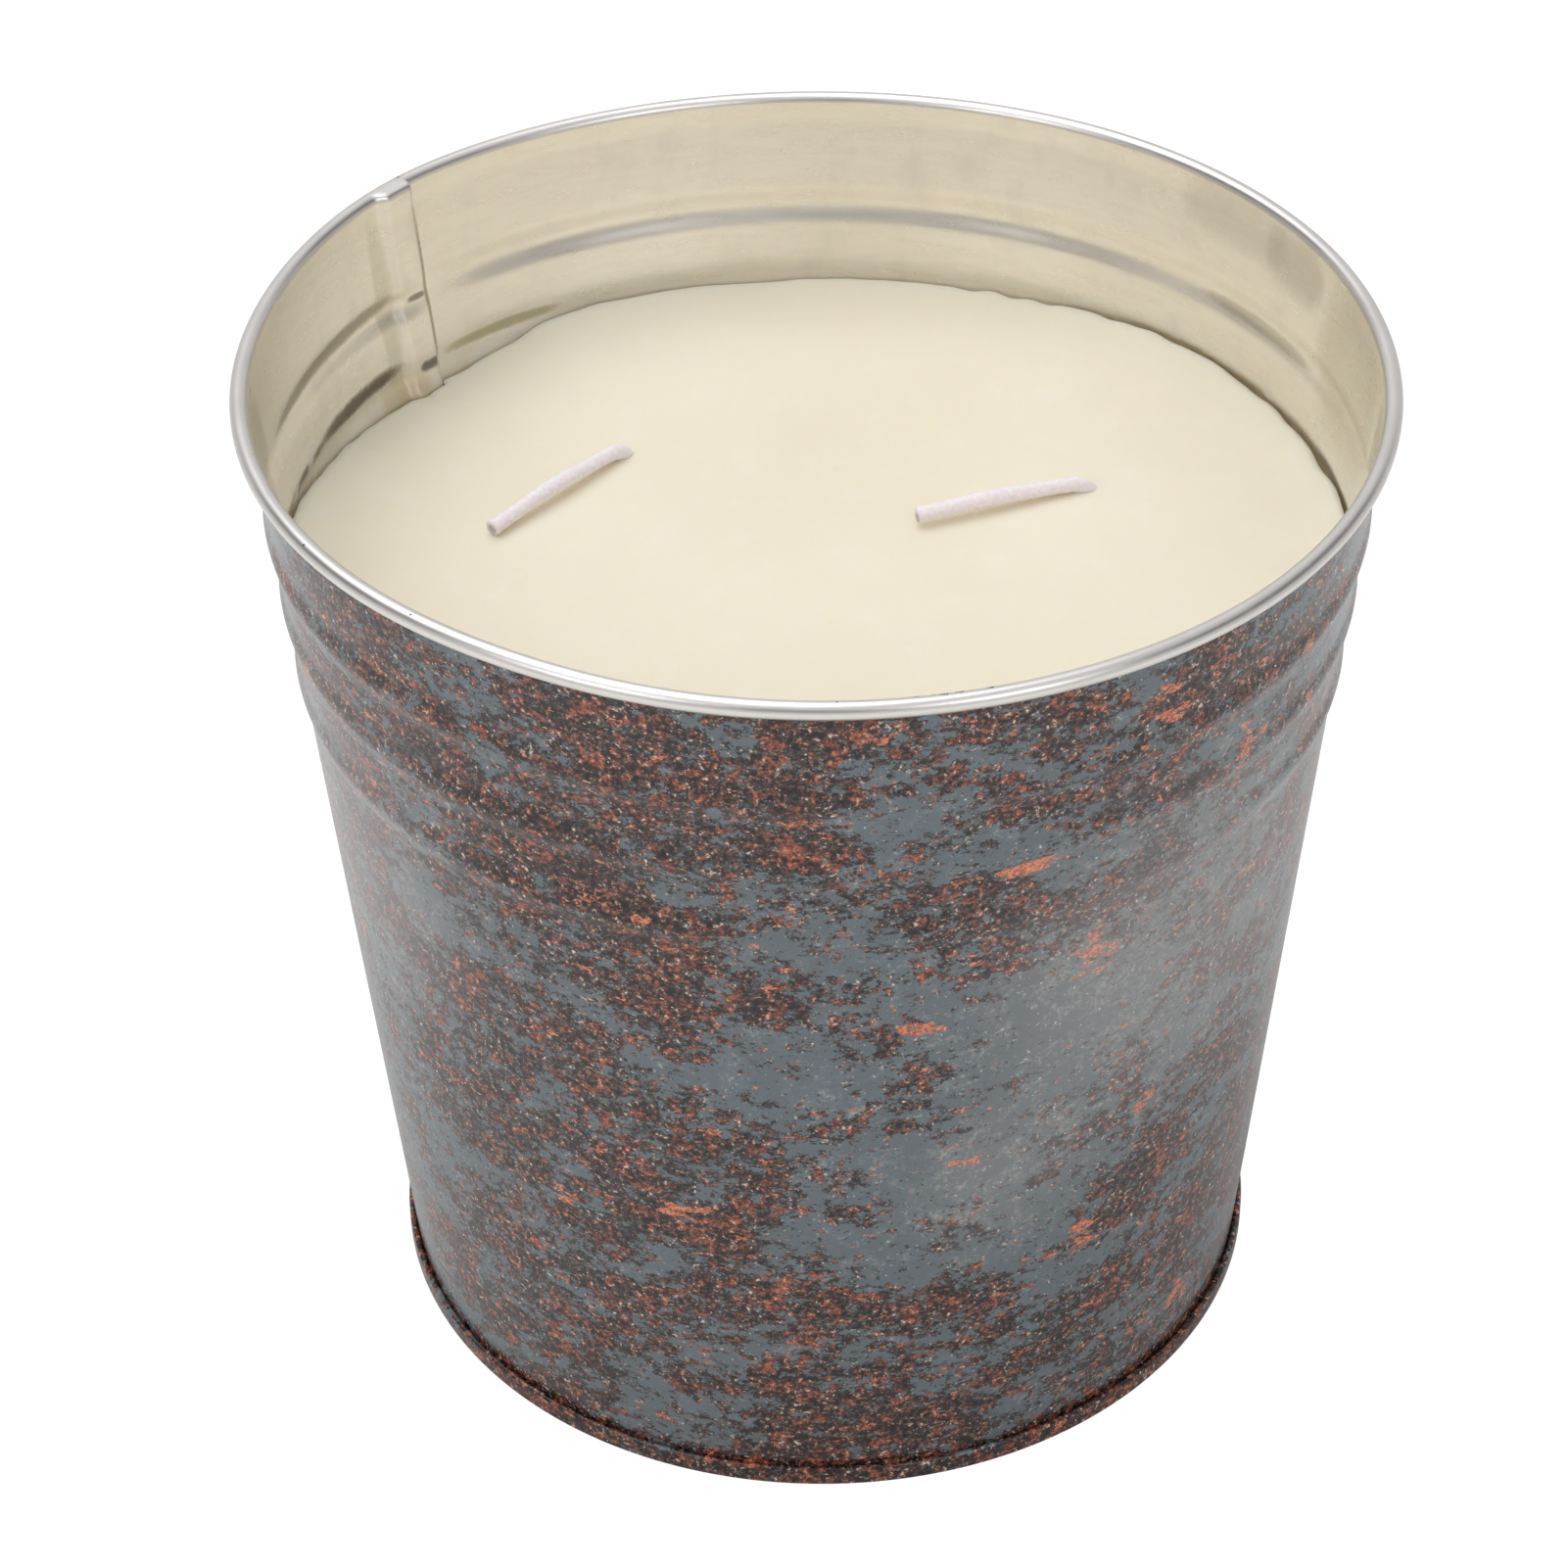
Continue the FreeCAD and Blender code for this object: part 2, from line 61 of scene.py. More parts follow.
# The groove that the seam leaves on the outside: degrees past the joggle's start, half width and depth.
GROOVE_PLACE, GROOVE_WIDTH, GROOVE_DEPTH = 0.65, 0.42, 0.62
# How far out of round the rim was pulled: azimuth, millimetres out from the true circle.
RIM_PULL = (
    (5, -0.7), (25, -0.7), (45, -0.9), (60, -1.0), (80, -1.1), (100, -0.9), (115, -0.35), (125, 0.45),
    (135, 1.4), (143, 1.55), (155, 0.75), (165, 0.2), (175, -0.1), (190, -0.25), (205, -0.1), (220, -0.1),
    (230, -0.3), (240, -0.3), (250, 0.3), (260, 0.95), (270, 1.4), (280, 1.6), (295, 1.75), (310, 1.65),
    (320, 1.2), (335, 0.45), (345, -0.1), (355, -0.5),
)
PULL_FOOT, PULL_TOP, PULL_SMOOTHING = 102.0, 142.0, 6.0
RIM_DIP, RIM_DIP_AZIMUTH, RIM_DIP_WIDTH = 0.4, 82.0, 30.0
DIP_FOOT, DIP_TOP = 130.0, 154.0
BEAD_LOSS, BEAD_LOSS_AZIMUTH, BEAD_LOSS_WIDTH = 0.7, 136.0, 3.8
WALL_AROUND = 480


def ease(value, low, high):
    """0 below low, 1 above high and smooth between."""
    share = np.clip((value - low) / (high - low), 0.0, 1.0)
    return share * share * (3.0 - 2.0 * share)


def out_of_round(azimuth, height):
    """Millimetres that the wall stands out from a true circle."""
    whole = np.arange(360.0)
    places, pulls = zip(*RIM_PULL)
    spread = np.exp(-((((whole + 180.0) % 360.0 - 180.0) / PULL_SMOOTHING) ** 2))
    pull = np.interp(whole, places, pulls, period=360.0)
    pull = np.fft.ifft(np.fft.fft(pull) * np.fft.fft(spread / spread.sum())).real
    return np.interp(azimuth, whole, pull, period=360.0) * ease(height, PULL_FOOT, PULL_TOP)


def wall_radius(height):
    """Outside radius of the round wall at a height, beads included."""
    heights, radii = zip(*WALL_STATIONS)
    radius = np.interp(height, heights, radii)
    for middle in BEAD_HEIGHTS:
        across = np.clip((height - middle) / BEAD_WIDTH, -0.5, 0.5)
        radius = radius + BEAD_DEPTH * 0.5 * (1.0 + np.cos(2.0 * math.pi * across))
    return radius


def beside_seam(azimuth):
    """Share of a bead's depth that is left where the lock seam's layers stiffen the sheet."""
    return 1.0 - BEAD_LOSS * np.exp(-(((np.mod(azimuth, 360.0) - BEAD_LOSS_AZIMUTH) / BEAD_LOSS_WIDTH) ** 2))


def grid_faces(rows, columns, flip=False):
    """Quads of a sheet of points that closes on itself along its columns."""
    row, column = np.meshgrid(np.arange(rows - 1), np.arange(columns), indexing="ij")
    row, column = row.ravel(), column.ravel()
    onward = (column + 1) % columns
    quads = np.stack([row * columns + column, row * columns + onward,
                      (row + 1) * columns + onward, (row + 1) * columns + column], axis=1)
    return quads[:, ::-1] if flip else quads


def make_piece(name, points, faces, materials, material_of_face=None):
    """A mesh object from points in millimetres."""
    mesh = bpy.data.meshes.new(name)
    mesh.from_pydata((np.asarray(points) * MM).tolist(), [], [list(map(int, face)) for face in faces])
    piece = bpy.data.objects.new(name, mesh)
    bpy.context.scene.collection.objects.link(piece)
    for finish in materials:
        mesh.materials.append(finish)
    if material_of_face is not None:
        mesh.polygons.foreach_set("material_index", np.asarray(material_of_face, dtype=np.int32))
    mesh.polygons.foreach_set("use_smooth", np.full(len(mesh.polygons), True))
    mesh.validate()
    mesh.update()
    return piece


def around_axis(radius, azimuth, height):
    """Points at distances out from the axis, azimuths and heights."""
    angle = np.radians(azimuth)
    return np.stack([radius * np.cos(angle), radius * np.sin(angle), height], axis=-1)


def wall_rows():
    """Height and distance out from the wall's face, for the sheet's outside and inside, foot to curl tip.

    Rows stand close together where the foot, the beads and the neck bend.
    """
    plain = [0.4, 1.5, 2.6, 3.3, 3.6, 4.2, 5.2, 6.4, 7.0, 8.0]
    plain += list(np.arange(12.0, 104.0, 4.0))
    band = list(np.arange(105.0, 144.6, 0.55))
    neck = [145.5, 147.0, 148.5, 150.0, 151.0, 151.8, 152.6, 153.4, 154.1]
    heights = np.array(plain + band + neck)
    outside = np.stack([heights, np.zeros_like(heights)], axis=1)
    inside = np.stack([heights, np.full_like(heights, -SHEET)], axis=1)
    middle_out, middle_height = CURL_RADIUS - SHEET, PAIL_HEIGHT - CURL_RADIUS
    turn = np.radians(180.0 - np.linspace(0.0, CURL_TURN, 31))

    def rolled(radius):
        return np.stack([middle_height + radius * np.sin(turn), middle_out + radius * np.cos(turn)], axis=1)

    outside = np.concatenate([outside, rolled(CURL_RADIUS - SHEET)])
    inside = np.concatenate([inside, rolled(CURL_RADIUS)])
    return outside, inside


def wall_columns():
    """Azimuth and depth behind the wall's face, for the outside and inside, round the lock seam's section."""
    fold = np.radians(np.linspace(-90.0, 90.0, 11))
    degrees_per_mm = math.degrees(1.0 / MEAN_RADIUS)
    fold_azimuth = LOCK_FOLD - FOLD_RADIUS * degrees_per_mm * np.cos(fold)
    fold_depth = 2 * LAYER + FOLD_RADIUS * np.sin(fold)
    before, before_depth = [LOCK_FOLD - 1.0, LOCK_FOLD - 0.45, LOCK_FOLD - 0.2], [0.0, 0.0, 0.05]
    cover = np.linspace(LOCK_FOLD + 0.4, JOGGLE_START, 9)
    cover_depth = np.full(len(cover), LOCK_DEPTH)
    joggle = np.linspace(JOGGLE_START + 0.1, JOGGLE_END, 13)
    joggle_depth = LOCK_DEPTH * (1.0 - ease(joggle, JOGGLE_START, JOGGLE_END))
    inner_azimuth = np.concatenate([before, fold_azimuth, cover, joggle])
    inner_depth = np.concatenate([before_depth, fold_depth, cover_depth, joggle_depth])
    count = len(inner_azimuth)
    outer_azimuth = np.linspace(LOCK_FOLD - 1.0, JOGGLE_END, count)
    groove = np.exp(-(((outer_azimuth - JOGGLE_START - GROOVE_PLACE) / GROOVE_WIDTH) ** 2))
    outer_depth = GROOVE_DEPTH * groove
    rest = np.linspace(JOGGLE_END, 360.0 + LOCK_FOLD - 1.0, WALL_AROUND - count + 2)[1:-1]
    flush = np.zeros(len(rest))
    azimuths = np.concatenate([outer_azimuth, rest]), np.concatenate([inner_azimuth, rest])
    depths = np.concatenate([outer_depth, flush]), np.concatenate([inner_depth, flush])
    return azimuths, depths


def wall_side(rows, azimuth, depth):
    """Points of one side of the sheet. The lock seam's ridge starts above the foot and ends in the curl."""
    height = rows[:, 0][:, None] + np.zeros_like(azimuth)[None, :]
    into_curl = ease(rows[:, 1], 0.0, CURL_RADIUS - SHEET)[:, None]
    seam_share = ease(height, LOCK_FOOT - 0.8, LOCK_FOOT) * (1.0 - into_curl)
    heights, radii = zip(*WALL_STATIONS)
    plain = np.interp(height, heights, radii)
    bead = (wall_radius(height) - plain) * beside_seam(azimuth)[None, :]
    radius = plain + bead + rows[:, 1][:, None] - depth[None, :] * seam_share
    radius = radius + out_of_round(np.mod(azimuth, 360.0)[None, :], height)
    dip = RIM_DIP * np.exp(-(((np.mod(azimuth, 360.0) - RIM_DIP_AZIMUTH) / RIM_DIP_WIDTH) ** 2))
    height = height - dip[None, :] * ease(height, DIP_FOOT, DIP_TOP)
    return around_axis(radius, azimuth[None, :] + np.zeros_like(height), height).reshape(-1, 3)


class Wire:
    """An output socket in an expression. Each operator adds its Math node."""

    def __init__(self, finish, socket):
        self.finish, self.socket = finish, socket

    def maths(self, operation, *others):
        sockets = dict(enumerate((self,) + others))
        return self.finish.node("ShaderNodeMath", {"operation": operation}, sockets)

    def __add__(self, other):
        return self.maths("ADD", other)

    def __mul__(self, other):
        return self.maths("MULTIPLY", other)

    def __sub__(self, other):
        return self.maths("SUBTRACT", other)

    def __rsub__(self, other):
        return self.finish.node("ShaderNodeMath", {"operation": "SUBTRACT"}, {0: other, 1: self})

    __radd__ = __add__
    __rmul__ = __mul__

    def rises(self, low, high):
        """0 where this is under low, 1 over high, smooth between; either may be a wire."""
        ends = {"Value": self, "From Min": low, "From Max": high}
        return self.finish.node("ShaderNodeMapRange", {"interpolation_type": "SMOOTHSTEP"}, ends)

    def stretched(self, x, y, z):
        """A place with each of its coordinates multiplied."""
        return self.finish.node("ShaderNodeVectorMath", {"operation": "MULTIPLY"}, {0: self, 1: (x, y, z)})


class Finish:
    """A node material with one Principled shader."""

    def __init__(self, name, **constants):
        self.material = bpy.data.materials.new(name)
        self.material.use_nodes = True
        self.tree = self.material.node_tree
        self.shader = self.tree.nodes["Principled BSDF"]
        for socket, value in constants.items():
            self.shader.inputs[socket.replace("_", " ")].default_value = value

    def node(self, kind, settings, sockets, output=0):
        """A node of one kind: its settings first, then the values or links of its sockets."""
        made = self.tree.nodes.new(kind)
        for name, value in settings.items():
            if name == "stops":
                ramp = made.color_ramp
                while len(ramp.elements) < len(value):
                    ramp.elements.new(1.0)
                for element, (place, colour) in zip(ramp.elements, value):
                    element.position, element.color = place, colour
            else:
                setattr(made, name, value)
        for name, value in sockets.items():
            if isinstance(value, Wire):
                self.tree.links.new(value.socket, made.inputs[name])
            else:
                made.inputs[name].default_value = value
        return Wire(self, made.outputs[output])

    def place(self):
        """Where a point is on the object, in millimetres."""
        metres = self.node("ShaderNodeTexCoord", {}, {}, "Object")
        return metres.stretched(1 / MM, 1 / MM, 1 / MM)

    def height(self, place):
        return self.node("ShaderNodeSeparateXYZ", {}, {"Vector": place}, "Z")

    def near(self, place, middle, reach):
        """1 at a place, falling smoothly to 0 at reach millimetres from it."""
        away = self.node("ShaderNodeVectorMath", {"operation": "DISTANCE"}, {0: place, 1: middle}, "Value")
        return away.rises(reach, 0.0)

    def noise(self, place, scale, detail, roughness=0.55):
        sockets = {"Vector": place, "Scale": scale, "Detail": detail, "Roughness": roughness}
        return self.node("ShaderNodeTexNoise", {}, sockets)

    def blend(self, share, under, over):
        """Colour under, turning to over as share goes to 1."""
        return self.node("ShaderNodeMix", {"data_type": "RGBA"}, {0: share, 6: under, 7: over}, 2)

    def bump(self, height, distance, strength):
        """Small relief, its distance in millimetres."""
        sockets = {"Height": height, "Distance": distance * MM, "Strength": strength}
        return self.node("ShaderNodeBump", {}, sockets)

    def feed(self, socket, wire):
        self.tree.links.new(wire.socket, self.shader.inputs[socket])


def ink(red, green, blue):
    """A colour as it is seen, 0 to 255, as the shader's linear one."""
    def linear(value):
        value = value / 255.0
        return value / 12.92 if value <= 0.04045 else ((value + 0.055) / 1.055) ** 2.4

    return (linear(red), linear(green), linear(blue), 1.0)


# Where the print's rust lies thicker (+) or its plain blue-grey shows (-): azimuth, height, reach, strength.
RUST_ZONES = (
    (247.0, 146.0, 26.0, 0.07), (226.0, 140.0, 26.0, 0.05), (268.0, 150.0, 24.0, 0.08),
    (303.0, 147.0, 20.0, 0.05), (319.0, 145.0, 22.0, 0.02), (241.0, 119.0, 22.0, 0.07),
    (253.0, 108.0, 20.0, 0.06), (242.0, 69.0, 20.0, 0.04), (255.0, 52.0, 20.0, 0.06),
    (228.0, 18.0, 26.0, 0.03), (264.0, 20.0, 26.0, 0.06), (289.0, 20.0, 22.0, 0.05),
    (318.0, 38.0, 22.0, 0.05), (286.0, 110.0, 16.0, 0.05), (212.0, 120.0, 20.0, 0.04),
    (278.0, 132.0, 14.0, -0.03), (294.0, 128.0, 16.0, -0.03), (267.0, 84.0, 18.0, -0.07),
    (283.0, 62.0, 26.0, -0.15), (292.0, 90.0, 24.0, -0.13), (306.0, 84.0, 26.0, -0.08),
    (312.0, 106.0, 20.0, -0.04), (219.0, 102.0, 18.0, -0.04), (241.0, 92.0, 12.0, -0.03),
    (212.0, 66.0, 24.0, -0.03), (60.0, 60.0, 40.0, -0.07), (120.0, 100.0, 36.0, 0.05),
    (20.0, 30.0, 30.0, 0.04), (180.0, 40.0, 34.0, -0.05),
)
# Where the print is paler and dusted with light specks: azimuth, height, reach, strength.
PALE_PRINT_ZONES = (
    (312.0, 96.0, 52.0, 1.0), (206.0, 100.0, 48.0, 1.0), (290.0, 60.0, 26.0, 0.5),
    (30.0, 90.0, 60.0, 0.7),
)
# Where large orange flakes show: azimuth, height, reach.
FLAKE_SPOTS = (
    (300.0, 101.0, 9.0), (286.0, 75.0, 7.0), (286.0, 68.0, 6.0), (300.0, 43.0, 9.0), (318.0, 12.0, 11.0),
    (262.0, 116.0, 6.0), (303.0, 143.0, 13.0), (252.0, 58.0, 8.0), (246.0, 115.0, 5.0),
    (290.0, 122.0, 8.0), (316.0, 128.0, 10.0), (308.0, 66.0, 6.0), (281.0, 94.0, 6.0),
    (70.0, 110.0, 12.0), (140.0, 60.0, 12.0),
)


def on_wall(azimuth, height):
    """A point on the wall's outside, in millimetres."""
    angle, radius = math.radians(azimuth), float(wall_radius(height))
    return radius * math.cos(angle), radius * math.sin(angle), height


def printed_patina():
    """Rust patina printed under gloss lacquer: flat blue-grey, ragged rust grit, orange and ochre flakes."""
    finish = Finish("printed_patina", IOR=1.5)
    place = finish.place()
    level = place.stretched(1.0, 1.0, 1.6)
    streaky = place.stretched(1.0, 1.0, 2.3)
    cover = finish.noise(level, 0.055, 7.0, 0.82)
    for azimuth, height, reach, strength in RUST_ZONES:
        cover = cover + finish.near(place, on_wall(azimuth, height), reach) * strength
    paleness = 0.0
    for azimuth, height, reach, strength in PALE_PRINT_ZONES:
        paleness = paleness + finish.near(place, on_wall(azimuth, height), reach) * strength
    islands = finish.noise(level, 0.40, 4.0, 0.70)
    grain = finish.noise(place, 1.15, 2.0, 0.75)
    speck = finish.noise(place.stretched(1.0, 1.0, 1.3), 1.9, 1.0, 0.6)
    tint = finish.noise(place, 0.21, 4.0, 0.75)

    flat = finish.blend(tint.rises(0.42, 0.60), ink(104, 113, 117), ink(107, 119, 127))
    cloudy = finish.node("ShaderNodeValToRGB", {"stops": (
        (0.34, ink(84, 88, 88)), (0.46, ink(108, 114, 113)), (0.56, ink(130, 135, 133)),
        (0.70, ink(170, 171, 167)))}, {"Fac": grain * 0.6 + tint * 0.4})
    ground = finish.blend((paleness * 0.12 + tint * 0.5 + grain * 0.2).rises(0.36, 0.47), flat, cloudy)
    dark = finish.node("ShaderNodeValToRGB", {"stops": (
        (0.37, ink(24, 20, 22)), (0.46, ink(46, 37, 37)), (0.55, ink(80, 60, 55)),
        (0.63, ink(122, 94, 84)), (0.71, ink(226, 212, 198)))}, {"Fac": grain})
    warm = finish.node("ShaderNodeValToRGB", {"stops": (
        (0.34, ink(60, 36, 33)), (0.45, ink(112, 64, 53)), (0.54, ink(152, 86, 67)),
        (0.64, ink(188, 112, 84)), (0.74, ink(236, 194, 164)))}, {"Fac": grain})
    charcoal = finish.node("ShaderNodeValToRGB", {"stops": (
        (0.34, ink(30, 31, 34)), (0.48, ink(56, 58, 60)), (0.60, ink(92, 94, 94)),
        (0.74, ink(186, 186, 182)))}, {"Fac": grain})
    cover = cover + finish.height(place).rises(6.0, 2.5) * 0.10
    amount = cover + islands * 0.60 + grain * 0.22 + speck * 0.12
    clusters = (finish.noise(level, 0.36, 4.0, 0.74) + tint * 0.35).rises(0.695, 0.755)
    rust_colour = finish.blend(clusters * 0.9, dark, warm)
    rust_colour = finish.blend((amount + tint * 0.35).rises(1.19, 1.15) * 0.8, rust_colour, charcoal)
    bits = (finish.noise(level, 0.80, 3.0, 0.65) + amount * 0.45).rises(1.025, 1.05)
    ground = finish.blend(bits * 0.9, ground, finish.blend(tint.rises(0.46, 0.54), charcoal, dark))
    rust = amount.rises(0.935, 0.960)
    colour = finish.blend(rust, ground, rust_colour)

    ember = (islands * 0.75 + tint * 0.5 + cover * 0.2).rises(0.82, 0.87)
    glow = finish.blend(grain.rises(0.38, 0.62), ink(104, 52, 40), ink(214, 126, 88))
    colour = finish.blend(ember * 0.5, colour, glow)
    flaked = finish.noise(streaky, 0.14, 5.0, 0.74) + paleness * 0.02
    for azimuth, height, reach in FLAKE_SPOTS:
        flaked = flaked + finish.near(place, on_wall(azimuth, height), reach) * 0.11
    crumbs = finish.noise(level, 0.30, 4.0, 0.72) + cover * 0.2
    flake = flaked.rises(0.644, 0.666) + crumbs.rises(0.755, 0.775)
    bright = finish.blend(speck.rises(0.36, 0.62), ink(176, 86, 60), ink(230, 148, 110))
    colour = finish.blend(flake, colour, bright)
    ochre = (finish.noise(streaky, 0.50, 3.0, 0.66) + cover * 0.15).rises(0.765, 0.80)
    colour = finish.blend(ochre, colour, ink(218, 190, 152))
    dust = (finish.noise(place, 1.55, 1.0, 0.4) + paleness * 0.04).rises(0.735, 0.80)
    colour = finish.blend(dust * 0.85, colour, ink(216, 215, 210))
    finish.feed("Base Color", finish.blend(paleness.rises(0.0, 1.0) * 0.30, colour, ink(200, 196, 196)))
    finish.feed("Roughness", 0.17 + tint * 0.10)
    finish.feed("Normal", finish.bump(finish.noise(place, 0.35, 2.0), 0.02, 0.5))
    return finish.material


# What marks the bare tin, stains and painted light: azimuth, height, half its length, half its height,
# strength, colour.
# The dark lines along the top and middle beads at the left (157.5°, 152.5° and 166°) are painted shade in the
# grooves.
# The olive band and the dark line beside the seam's ridge (144.2° and 137.9°) are painted shade, and so is
# the darker patch high on the far right (8°).
# The other entries are darker, greyer or yellower patches on the tin.
# The pale grey streak along the top bead at the back (112°) is a painted reflection; the olive streak above
# the wax (128.5°) is a stain.
TIN_STAINS_AND_PAINTED_LIGHT = (
    (157.5, 138.6, 23.0, 1.7, 0.62, (122, 114, 90)), (152.5, 127.6, 13.5, 1.8, 0.85, (90, 76, 54)),
    (166.0, 127.0, 9.0, 1.2, 0.6, (112, 98, 72)), (144.2, 138.0, 2.2, 18.0, 0.25, (150, 144, 112)),
    (139.9, 137.4, 2.0, 0.7, 0.70, (80, 72, 64)), (139.6, 126.0, 2.4, 1.2, 0.80, (88, 78, 72)),
    (144.0, 123.2, 6.0, 3.2, 0.4, (202, 184, 132)), (128.5, 126.0, 12.0, 1.2, 0.6, (160, 152, 104)),
    (30.0, 136.6, 15.0, 1.3, 0.40, (140, 134, 112)), (36.0, 151.0, 13.0, 6.0, 0.24, (150, 144, 132)),
    (25.0, 150.0, 9.0, 6.0, 0.35, (146, 140, 130)), (137.9, 138.0, 0.6, 17.0, 0.6, (110, 102, 84)),
    (183.0, 140.0, 8.0, 16.0, 0.3, (140, 132, 106)), (350.0, 142.0, 9.0, 14.0, 0.4, (136, 128, 104)),
    (112.0, 136.0, 20.0, 1.6, 0.25, (196, 190, 192)), (8.0, 143.0, 16.0, 15.0, 0.40, (176, 168, 146)),
)
# Ink that got past the print's edge onto the curl: azimuth, distance out, height, reach.
CURL_INK = (
    (278.0, 82.0, 155.75, 0.9), (279.4, 82.1, 155.8, 0.7), (280.4, 82.1, 155.8, 1.3),
    (281.8, 82.2, 155.85, 1.1), (284.6, 82.3, 155.9, 0.9), (271.0, 82.6, 155.9, 0.4),
    (229.0, 81.5, 155.8, 0.4), (213.0, 81.9, 155.7, 0.4), (196.0, 80.6, 155.7, 0.4),
    (15.0, 80.9, 155.6, 0.5),
)
# Where wax dried on the tin: azimuth, height, reach.
WAX_SPLASHES = (
    (164.5, 128.0, 3.6), (170.0, 126.6, 2.6), (172.5, 128.6, 1.6), (92.0, 129.6, 1.3), (27.0, 127.4, 2.4),
    (43.0, 128.0, 2.8), (57.0, 127.2, 2.2), (70.0, 127.0, 2.0),
)


def bare_tin(name, tone, dullness, grit):
    """Bright tinplate: faint rolling streaks, smudges of wax and fingers, stains, painted shade along the
    beads and by the seam, and a painted reflection streak on the top bead.
    """
    finish = Finish(name)
    place = finish.place()
    streaks = finish.noise(place.stretched(1.0, 1.0, 6.0), 0.12, 2.0, 0.5)
    smudges = finish.noise(place.stretched(1.0, 1.0, 0.5), 0.16, 5.0, 0.72)
    fine = finish.noise(place, 1.3, 2.0, 0.6)
    smear = smudges.rises(0.50, 0.76)
    colour = finish.blend(streaks.rises(0.3, 0.75), ink(*tone), ink(*(value + 5 for value in tone)))
    colour = finish.blend(smear * 0.16, colour, ink(198, 193, 184))
    to_right = finish.node("ShaderNodeSeparateXYZ", {}, {"Vector": place}, "X")
    to_back = finish.node("ShaderNodeSeparateXYZ", {}, {"Vector": place}, "Y")
    up = finish.height(place)
    ragged_edge = (smudges - 0.5) * 0.7 + (fine - 0.5) * 0.4
    # Each entry blends its colour in: stains, and the painted shade and painted reflection named above the
    # list.
    for azimuth, height, long, high, strength, tint in TIN_STAINS_AND_PAINTED_LIGHT:
        angle = math.radians(azimuth)
        along = (to_back * math.cos(angle) - to_right * math.sin(angle)) * (1.0 / long)
        this_side = (to_right * math.cos(angle) + to_back * math.sin(angle)).rises(0.0, 10.0)
        rise = (up - height) * (1.0 / high)
        stain_or_painted_light = (along * along * along * along + rise * rise + ragged_edge).rises(1.0, 0.1)
        colour = finish.blend(stain_or_painted_light * this_side * strength, colour, ink(*tint))
    fleck = finish.noise(place, 2.6, 1.0)
    for azimuth, out, height, reach in CURL_INK:
        angle = math.radians(azimuth)
        spot = finish.near(place, (out * math.cos(angle), out * math.sin(angle), height), reach)
        spot = (spot + (fleck - 0.5) * 1.6).rises(0.42, 0.55) * spot.rises(0.0, 0.2)
        colour = finish.blend(spot * 0.9, colour, ink(58, 46, 52))
    crust = 0.0
    for azimuth, height, reach in WAX_SPLASHES:
        crust = crust + finish.near(place, on_wall(azimuth, height), reach)
    crumbly = crust + (smudges - 0.5) * 1.4 + (fine - 0.5) * 1.8
    crust = crumbly.rises(0.45, 0.75) * crust.rises(0.0, 0.25)
    finish.feed("Base Color", finish.blend(crust * 0.8, colour, ink(226, 222, 212)))
    finish.feed("Metallic", 1.0 - crust * 0.8)
    finish.feed("Roughness", dullness + streaks * 0.06 + smear * 0.10 + crust * 0.2)
    finish.feed("Normal", finish.bump(streaks * 0.15 + fine * grit, 0.02, 0.3))
    return finish.material


PATINA = printed_patina()
TIN = bare_tin("bare_tin", (232, 228, 221), 0.25, 0.1)
CURL_TIN = bare_tin("curled_tin", (222, 218, 216), 0.32, 0.6)


def make_pail_wall():
    """The sheet's outside and inside, joined at the foot and at the curl's tip."""
    outside_rows, inside_rows = wall_rows()
    (outer_azimuth, inner_azimuth), (outer_depth, inner_depth) = wall_columns()
    row_count = len(outside_rows)
    outside_points = wall_side(outside_rows, outer_azimuth, outer_depth)
    inside_points = wall_side(inside_rows, inner_azimuth, inner_depth)
    outer_faces = grid_faces(row_count, WALL_AROUND)
    inner_faces = grid_faces(row_count, WALL_AROUND, flip=True) + len(outside_points)
    foot = np.arange(WALL_AROUND)
    next_foot = (foot + 1) % WALL_AROUND
    inwards = len(outside_points)
    foot_cap = np.stack([foot, foot + inwards, next_foot + inwards, next_foot], axis=1)
    top_row = (row_count - 1) * WALL_AROUND
    tip, next_tip = top_row + foot, top_row + next_foot
    tip_cap = np.stack([tip, next_tip, next_tip + inwards, tip + inwards], axis=1)
    faces = np.concatenate([outer_faces, inner_faces, foot_cap, tip_cap])
    points = np.concatenate([outside_points, inside_points])
    which_finish = np.zeros(len(faces), dtype=int)
    which_finish[len(outer_faces):] = 1
    in_curl = points[faces[:, 0], 2] > PAIL_HEIGHT - CURL_RADIUS
    which_finish[(which_finish == 1) & in_curl] = 2
    return make_piece("pail_wall", points, faces, [PATINA, TIN, CURL_TIN], which_finish)


pail_wall = make_pail_wall()
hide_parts("bucket_wall")
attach(pail_wall, "root")

# The bottom end. A tinplate disc with a raised panel and a stiffening ring. Its edge is
# printed like the wall and rolled with the wall's edge into the double seam; the panel is bare.
SEAM_HEIGHT, SEAM_OUT, SEAM_IN, SEAM_CORNER = 3.3, 67.18, 65.44, 0.6
HOOK_MIDDLE, PANEL_CORNER = 66.67, 0.65
PANEL_HEIGHT, RING_MIDDLE, RING_WIDTH, RING_DROP = 4.25, 60.0, 5.0, 0.9
# How many rows of the outline are printed, counted from the crevice beside the wall, and how
# many the inside of the panel repeats, counted from the axis.
PRINTED_ROWS, INSIDE_ROWS, BOTTOM_AROUND = 25, 24, 360


